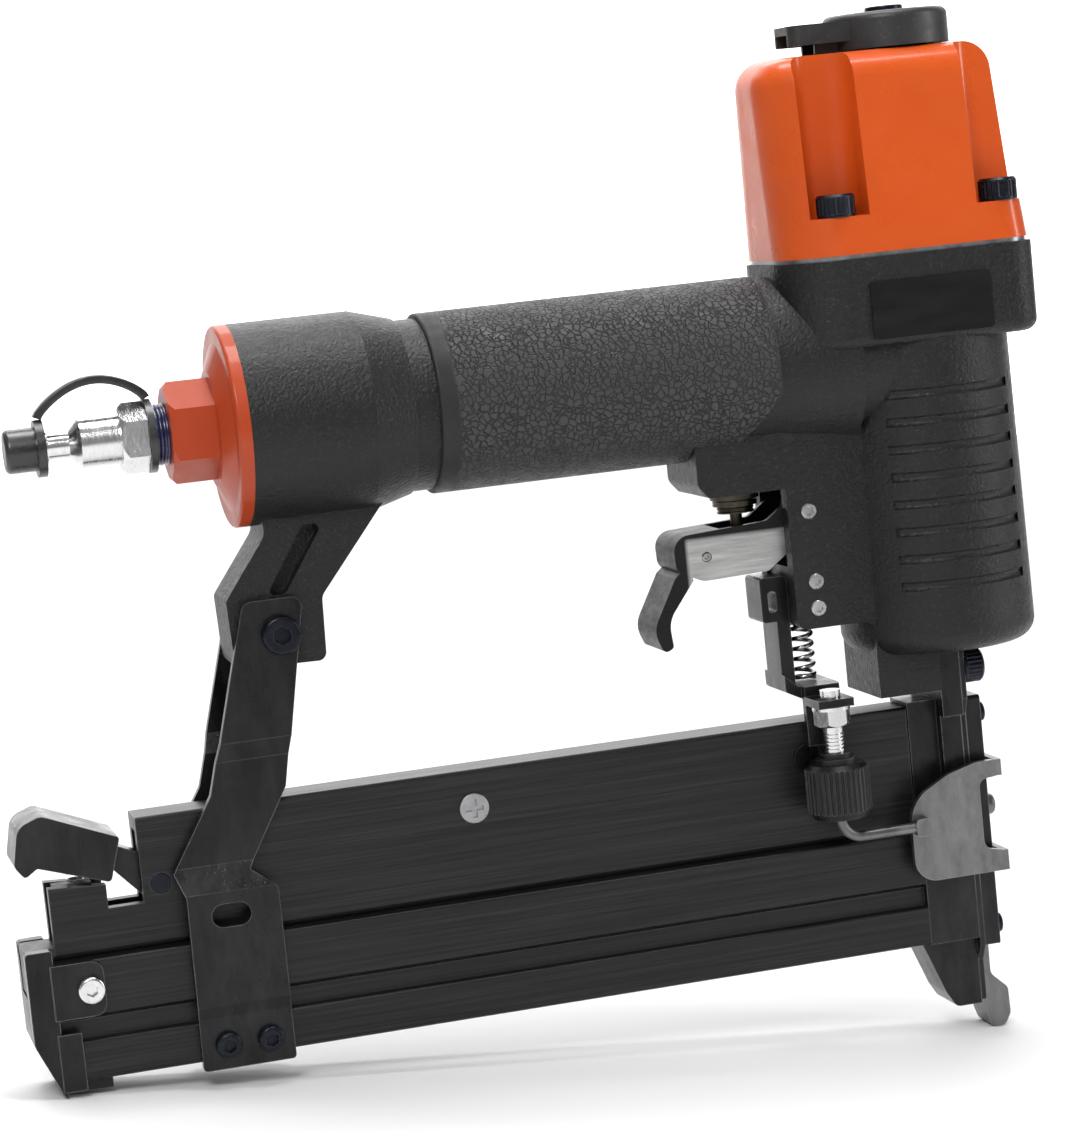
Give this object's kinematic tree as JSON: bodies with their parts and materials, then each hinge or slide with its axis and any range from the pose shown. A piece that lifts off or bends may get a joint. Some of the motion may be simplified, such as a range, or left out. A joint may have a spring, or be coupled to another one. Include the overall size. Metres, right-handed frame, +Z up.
{
  "type": "pneumatic nail gun",
  "caption": "Pneumatic brad nailer and stapler with a rubber-gripped handle, orange cylinder cap, straight under-slung magazine and contact safety at the nose.",
  "frame": {"origin": "on the drive axis, level with the tip of the released contact foot, where the tool first touches the work", "axes": "+Z up the drive axis to the exhaust deflector, -X along the handle to the air plug, +X out of the front of the nose, -Y the side with the depth adjuster"},
  "size_m": [0.2569, 0.0477, 0.2524],
  "materials": {
    "body_coating": "black fine-grain textured coating on a casting",
    "grip_rubber": "dark grey moulded rubber with a leathery wrinkle",
    "cap_paint": "glossy orange paint on a casting",
    "end_cap_paint": "glossy orange-red paint on a casting",
    "bright_plate": "bright nickel plate",
    "thin_metal": "bare sheet metal edge",
    "soft_black": "gloss black rubber",
    "black_plastic": "matte black plastic",
    "inner_plastic": "natural plastic",
    "bumper_rubber": "dull red elastomer",
    "black_oxide": "black oxide with a faint blue cast",
    "black_steel": "blackened sheet steel, satin",
    "dark_steel": "satin dark steel",
    "bare_steel": "plain machined steel",
    "spring_steel": "drawn spring wire",
    "trigger_finish": "light silver-grey sheet metal",
    "anodised_black": "black anodised, brushed lengthways",
    "sleeve_alloy": "honed tube",
    "valve_brass": "turned brass",
    "plate_black": "blank black label"
  },
  "bodies": {
    "frame": {"main_housing": "body_coating", "handle_grip": "grip_rubber", "rear_end_cap": "end_cap_paint", "end_cap_seal": "soft_black", "cylinder_cap": "cap_paint", "cap_gasket": "thin_metal", "cap_screws": "black_oxide", "air_plug": "bright_plate", "tether_ring": "soft_black", "dust_cap_tether": "soft_black", "deflector_screw": "black_oxide", "cylinder_sleeve": "sleeve_alloy", "bumper": "bumper_rubber", "trigger_pin": "bare_steel", "valve_body": "valve_brass", "valve_spring": "spring_steel", "head_valve_spring": "spring_steel", "safety_guide": "black_plastic", "guide_pins": "bare_steel", "safety_spring": "spring_steel", "driver_guide": "black_steel", "front_plate": "black_steel", "front_cover": "black_steel", "nose_screws": "black_oxide", "cover_screws": "black_oxide", "fixed_magazine": "anodised_black", "rear_cover": "black_steel", "rear_cover_screws": "bright_plate", "hanger_left": "black_steel", "hanger_right": "black_steel", "hanger_bolt": "black_oxide", "hanger_nut": "black_oxide", "hanger_screws": "black_oxide", "nameplate": "plate_black"},
    "deflector": {"exhaust_deflector": "black_plastic"},
    "drive": {"piston_driver": "bare_steel", "piston_ring": "soft_black"},
    "head_valve": {"head_valve": "inner_plastic"},
    "trigger": {"trigger": "trigger_finish", "trigger_arm_pin": "bare_steel"},
    "arm": {"trigger_arm": "bare_steel"},
    "stem": {"valve_stem": "valve_brass"},
    "yoke": {"contact_yoke": "black_steel", "adjuster_rod": "bright_plate", "lock_nut": "bright_plate"},
    "foot": {"contact_foot": "dark_steel", "contact_wire": "dark_steel"},
    "wheel": {"depth_wheel": "black_oxide"},
    "rail": {"moving_rail": "anodised_black", "rail_plug": "black_plastic", "rail_screws": "bright_plate", "latch_pin": "black_oxide", "latch_spring": "spring_steel", "spring_rod": "bare_steel", "pusher_spring": "spring_steel"},
    "latch": {"latch": "black_steel"},
    "pusher": {"pusher": "black_steel"},
    "dust_cap": {"dust_cap": "soft_black"}
  },
  "joints": [
    {"name": "deflector_turn", "type": "hinge", "parent": "frame", "child": "deflector", "pos_m": [0, 0, 0.2465], "axis": [0, 0, 1], "continuous": true},
    {"name": "drive_stroke", "type": "slide", "parent": "frame", "child": "drive", "axis": [0, 0, -1], "range_m": [0, 0.071]},
    {"name": "head_valve_lift", "type": "slide", "parent": "frame", "child": "head_valve", "axis": [0, 0, 1], "range_m": [0, 0.003], "stiffness_N_per_m": 500, "springref_m": -0.01, "deforming": ["head_valve_spring"]},
    {"name": "trigger_pull", "type": "hinge", "parent": "frame", "child": "trigger", "pos_m": [-0.0345, 0, 0.1345], "axis": [0, 1, 0], "range_deg": [0, 8], "stiffness_Nm_per_rad": 0.5, "springref_deg": -11.46},
    {"name": "arm_tilt", "type": "hinge", "parent": "trigger", "child": "arm", "pos_m": [-0.0597, 0, 0.1262], "axis": [0, 1, 0], "range_deg": [0, 4], "stiffness_Nm_per_rad": 0.01, "springref_deg": -17.19},
    {"name": "stem_lift", "type": "slide", "parent": "frame", "child": "stem", "axis": [0, 0, 1], "range_m": [0, 0.0022], "deforming": ["valve_spring"]},
    {"name": "safety_lift", "type": "slide", "parent": "frame", "child": "yoke", "axis": [0, 0, 1], "range_m": [0, 0.0065], "stiffness_N_per_m": 300, "springref_m": -0.02, "deforming": ["safety_spring"]},
    {"name": "depth_shift", "type": "slide", "parent": "yoke", "child": "foot", "axis": [0, 0, 1], "range_m": [-0.0016, 0.0016]},
    {"name": "depth_turn", "type": "hinge", "parent": "foot", "child": "wheel", "pos_m": [-0.0345, -0.0152, 0.0675], "axis": [0, 0, 1], "range_deg": [-720, 720]},
    {"name": "rail_slide", "type": "slide", "parent": "frame", "child": "rail", "axis": [-1, 0, 0], "range_m": [0, 0.11]},
    {"name": "latch_press", "type": "hinge", "parent": "rail", "child": "latch", "pos_m": [-0.198, 0, 0.067], "axis": [0, -1, 0], "range_deg": [0, 7], "stiffness_Nm_per_rad": 0.3, "springref_deg": -17.19, "deforming": ["latch_spring"]},
    {"name": "follower_slide", "type": "slide", "parent": "rail", "child": "pusher", "axis": [-1, 0, 0], "range_m": [0, 0.078], "stiffness_N_per_m": 20, "springref_m": -0.3, "deforming": ["pusher_spring"]},
    {"name": "dust_cap_pull", "type": "slide", "parent": "frame", "child": "dust_cap", "axis": [-1, 0, 0], "range_m": [0, 0.01], "deforming": ["dust_cap_tether"]}
  ],
  "couplings": [
    {"joint": "stem_lift", "follows": "trigger_pull", "m_per_rad": 0.0145},
    {"joint": "depth_turn", "follows": "depth_shift", "rad_per_m": 7853.9}
  ]
}
